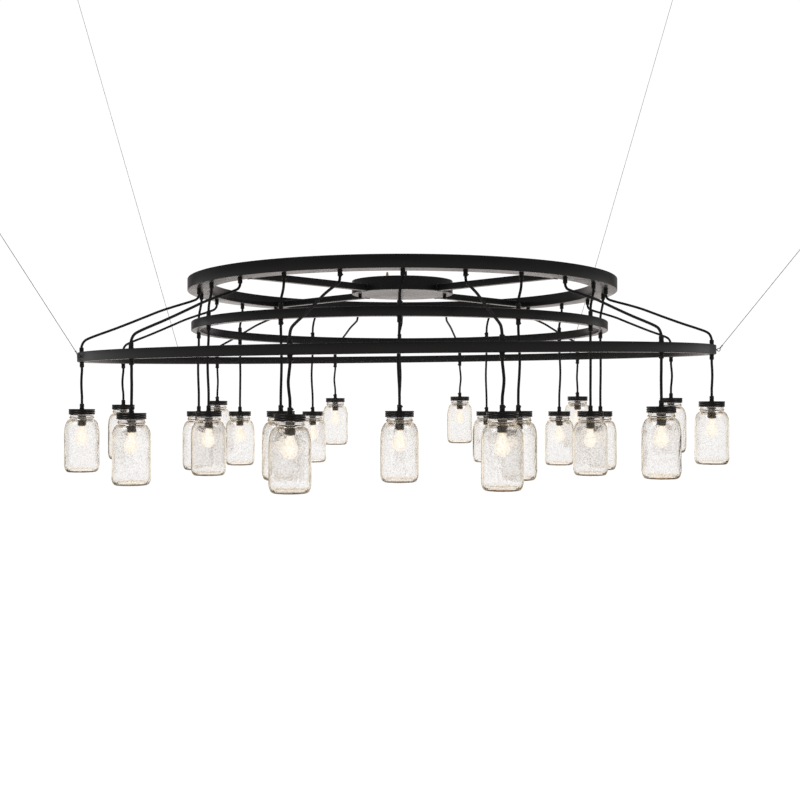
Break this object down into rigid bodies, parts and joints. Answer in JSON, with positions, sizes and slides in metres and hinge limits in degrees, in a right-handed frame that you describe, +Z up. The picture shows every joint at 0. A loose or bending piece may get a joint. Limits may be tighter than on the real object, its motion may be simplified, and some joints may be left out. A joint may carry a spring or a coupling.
{
  "type": "three-ring jar pendant chandelier",
  "caption": "Chandelier of stacked black steel rings hung from a round canopy, with clear glass jar pendants on black cords round the middle and outer rings.",
  "frame": {"origin": "middle of the mounting bar's top face, between its two box holes, level with the canopy's rim", "axes": "+Z up, the chandelier's front faces -Y, +X to the right seen from the front"},
  "size_m": [2.3891, 2.1846, 1.9085],
  "materials": {
    "black_steel": "satin black powder coat",
    "black_fitting": "semi-matt black",
    "black_lid": "satin black enamel",
    "dark_screw": "blackened",
    "zinc_steel": "zinc plated",
    "tan_plastic": "matt moulded",
    "wire_black": "smooth insulation",
    "black_cord": "matt round cord",
    "socket_grey": "dark moulded with a shiny top",
    "brass_base": "rolled thread",
    "lamp_glass": "lit white glass",
    "jar_glass": "clear pressed glass",
    "wire_cable": "stranded steel"
  },
  "bodies": {
    "fixture": {"canopy_pan": "black_steel", "mounting_bar": "zinc_steel", "mounting_screws": "zinc_steel", "hanging_strap": "black_steel", "wire_connectors": "tan_plastic", "wire_harness": "wire_black", "arm_front_right": "black_steel", "arm_back_right": "black_steel", "arm_back_left": "black_steel", "arm_front_left": "black_steel", "top_ring": "black_steel", "middle_ring": "black_steel", "outer_ring": "black_steel", "top_ring_grips": "black_fitting", "middle_upper_grips": "black_fitting", "middle_lower_grips": "black_fitting", "outer_upper_grips": "black_fitting", "outer_lower_grips": "black_fitting", "lid_grips": "black_fitting", "grip_screws": "dark_screw", "inner_cords": "black_cord", "outer_cords": "black_cord", "jar_lids": "black_lid", "lamp_sockets": "socket_grey", "bulb_bases": "brass_base", "bulbs": "lamp_glass", "suspension_cables": "wire_cable", "cable_eyes": "zinc_steel", "cable_ferrules": "zinc_steel", "cable_loops": "zinc_steel"},
    "nut_left": {"canopy_nut_left": "black_fitting"},
    "nut_right": {"canopy_nut_right": "black_fitting"},
    "jar_inner_01_body": {"jar_inner_01": "jar_glass"},
    "jar_inner_02_body": {"jar_inner_02": "jar_glass"},
    "jar_inner_03_body": {"jar_inner_03": "jar_glass"},
    "jar_inner_04_body": {"jar_inner_04": "jar_glass"},
    "jar_inner_05_body": {"jar_inner_05": "jar_glass"},
    "jar_inner_06_body": {"jar_inner_06": "jar_glass"},
    "jar_inner_07_body": {"jar_inner_07": "jar_glass"},
    "jar_inner_08_body": {"jar_inner_08": "jar_glass"},
    "jar_inner_09_body": {"jar_inner_09": "jar_glass"},
    "jar_inner_10_body": {"jar_inner_10": "jar_glass"},
    "jar_inner_11_body": {"jar_inner_11": "jar_glass"},
    "jar_inner_12_body": {"jar_inner_12": "jar_glass"},
    "jar_outer_01_body": {"jar_outer_01": "jar_glass"},
    "jar_outer_02_body": {"jar_outer_02": "jar_glass"},
    "jar_outer_03_body": {"jar_outer_03": "jar_glass"},
    "jar_outer_04_body": {"jar_outer_04": "jar_glass"},
    "jar_outer_05_body": {"jar_outer_05": "jar_glass"},
    "jar_outer_06_body": {"jar_outer_06": "jar_glass"},
    "jar_outer_07_body": {"jar_outer_07": "jar_glass"},
    "jar_outer_08_body": {"jar_outer_08": "jar_glass"},
    "jar_outer_09_body": {"jar_outer_09": "jar_glass"},
    "jar_outer_10_body": {"jar_outer_10": "jar_glass"},
    "jar_outer_11_body": {"jar_outer_11": "jar_glass"},
    "jar_outer_12_body": {"jar_outer_12": "jar_glass"}
  },
  "joints": [
    {"name": "nut_left_turn", "type": "hinge", "parent": "fixture", "child": "nut_left", "pos_m": [-0.1255, 0, -0.0468], "axis": [0, 0, 1], "continuous": true},
    {"name": "nut_right_turn", "type": "hinge", "parent": "fixture", "child": "nut_right", "pos_m": [0.1255, 0, -0.0468], "axis": [0, 0, 1], "continuous": true},
    {"name": "jar_inner_01_off", "type": "slide", "parent": "fixture", "child": "jar_inner_01_body", "axis": [0, 0, -1], "range_m": [0, 0.12]},
    {"name": "jar_inner_02_off", "type": "slide", "parent": "fixture", "child": "jar_inner_02_body", "axis": [0, 0, -1], "range_m": [0, 0.12]},
    {"name": "jar_inner_03_off", "type": "slide", "parent": "fixture", "child": "jar_inner_03_body", "axis": [0, 0, -1], "range_m": [0, 0.12]},
    {"name": "jar_inner_04_off", "type": "slide", "parent": "fixture", "child": "jar_inner_04_body", "axis": [0, 0, -1], "range_m": [0, 0.12]},
    {"name": "jar_inner_05_off", "type": "slide", "parent": "fixture", "child": "jar_inner_05_body", "axis": [0, 0, -1], "range_m": [0, 0.12]},
    {"name": "jar_inner_06_off", "type": "slide", "parent": "fixture", "child": "jar_inner_06_body", "axis": [0, 0, -1], "range_m": [0, 0.12]},
    {"name": "jar_inner_07_off", "type": "slide", "parent": "fixture", "child": "jar_inner_07_body", "axis": [0, 0, -1], "range_m": [0, 0.12]},
    {"name": "jar_inner_08_off", "type": "slide", "parent": "fixture", "child": "jar_inner_08_body", "axis": [0, 0, -1], "range_m": [0, 0.12]},
    {"name": "jar_inner_09_off", "type": "slide", "parent": "fixture", "child": "jar_inner_09_body", "axis": [0, 0, -1], "range_m": [0, 0.12]},
    {"name": "jar_inner_10_off", "type": "slide", "parent": "fixture", "child": "jar_inner_10_body", "axis": [0, 0, -1], "range_m": [0, 0.12]},
    {"name": "jar_inner_11_off", "type": "slide", "parent": "fixture", "child": "jar_inner_11_body", "axis": [0, 0, -1], "range_m": [0, 0.12]},
    {"name": "jar_inner_12_off", "type": "slide", "parent": "fixture", "child": "jar_inner_12_body", "axis": [0, 0, -1], "range_m": [0, 0.12]},
    {"name": "jar_outer_01_off", "type": "slide", "parent": "fixture", "child": "jar_outer_01_body", "axis": [0, 0, -1], "range_m": [0, 0.12]},
    {"name": "jar_outer_02_off", "type": "slide", "parent": "fixture", "child": "jar_outer_02_body", "axis": [0, 0, -1], "range_m": [0, 0.12]},
    {"name": "jar_outer_03_off", "type": "slide", "parent": "fixture", "child": "jar_outer_03_body", "axis": [0, 0, -1], "range_m": [0, 0.12]},
    {"name": "jar_outer_04_off", "type": "slide", "parent": "fixture", "child": "jar_outer_04_body", "axis": [0, 0, -1], "range_m": [0, 0.12]},
    {"name": "jar_outer_05_off", "type": "slide", "parent": "fixture", "child": "jar_outer_05_body", "axis": [0, 0, -1], "range_m": [0, 0.12]},
    {"name": "jar_outer_06_off", "type": "slide", "parent": "fixture", "child": "jar_outer_06_body", "axis": [0, 0, -1], "range_m": [0, 0.12]},
    {"name": "jar_outer_07_off", "type": "slide", "parent": "fixture", "child": "jar_outer_07_body", "axis": [0, 0, -1], "range_m": [0, 0.12]},
    {"name": "jar_outer_08_off", "type": "slide", "parent": "fixture", "child": "jar_outer_08_body", "axis": [0, 0, -1], "range_m": [0, 0.12]},
    {"name": "jar_outer_09_off", "type": "slide", "parent": "fixture", "child": "jar_outer_09_body", "axis": [0, 0, -1], "range_m": [0, 0.12]},
    {"name": "jar_outer_10_off", "type": "slide", "parent": "fixture", "child": "jar_outer_10_body", "axis": [0, 0, -1], "range_m": [0, 0.12]},
    {"name": "jar_outer_11_off", "type": "slide", "parent": "fixture", "child": "jar_outer_11_body", "axis": [0, 0, -1], "range_m": [0, 0.12]},
    {"name": "jar_outer_12_off", "type": "slide", "parent": "fixture", "child": "jar_outer_12_body", "axis": [0, 0, -1], "range_m": [0, 0.12]}
  ]
}
